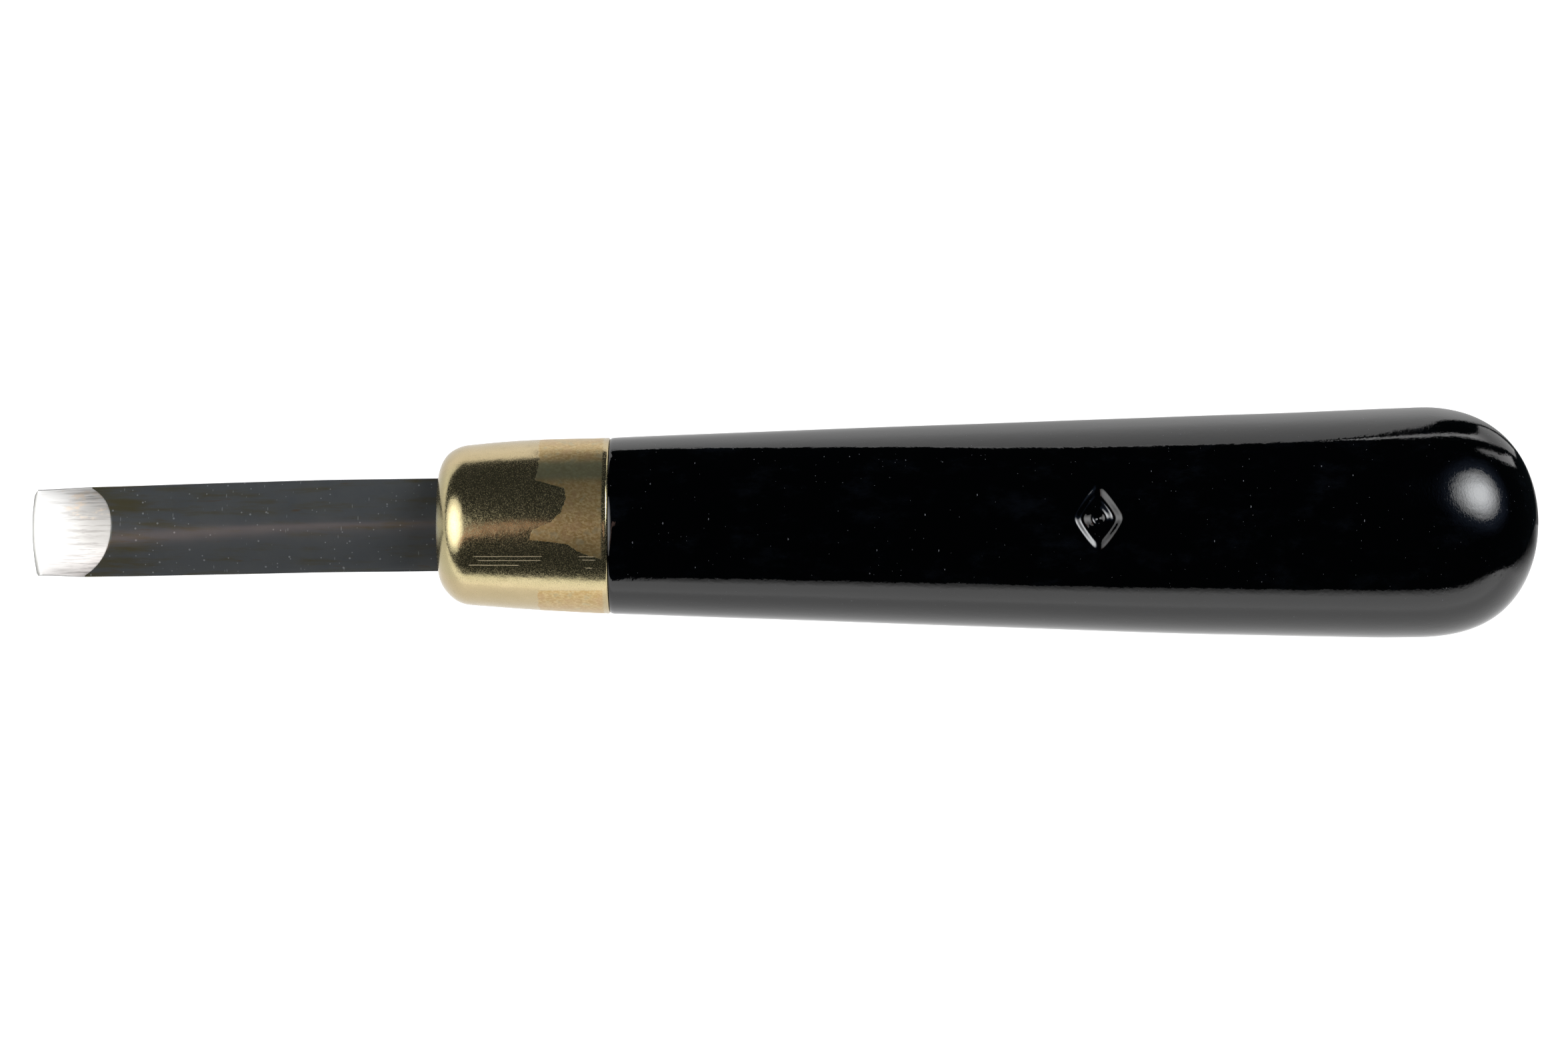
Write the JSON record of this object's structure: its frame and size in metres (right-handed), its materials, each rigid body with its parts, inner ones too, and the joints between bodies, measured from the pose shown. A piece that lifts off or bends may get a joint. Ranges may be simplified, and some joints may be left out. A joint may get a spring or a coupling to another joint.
{
  "type": "carving gouge",
  "caption": "Small palm carving gouge: straight steel blade with a shallow channel and a bevel on its convex back, spun brass ferrule, turned wooden handle lacquered black with a domed butt.",
  "frame": {"origin": "on the tool's axis, at the middle of its overall length, which is the centre of its bounding box", "axes": "X along the tool's axis with the cutting edge at -X and the domed butt at +X; +Z out of the convex back of the blade; Y across the blade"},
  "size_m": [0.1318, 0.0202, 0.0202],
  "materials": {
    "blade": "forged and heat-darkened tool steel, blue-grey with brown stains, bright on the ground bevel",
    "ferrule": "polished, with a dull film, amber tarnish and fine scratches",
    "handle": "thick deep-gloss black lacquer over turned hardwood, with a light orange-peel ripple",
    "bedding": "dark set resin"
  },
  "bodies": {
    "root": {"blade": "blade", "ferrule": "ferrule", "handle": "handle", "tang_resin": "bedding"}
  },
  "joints": []
}
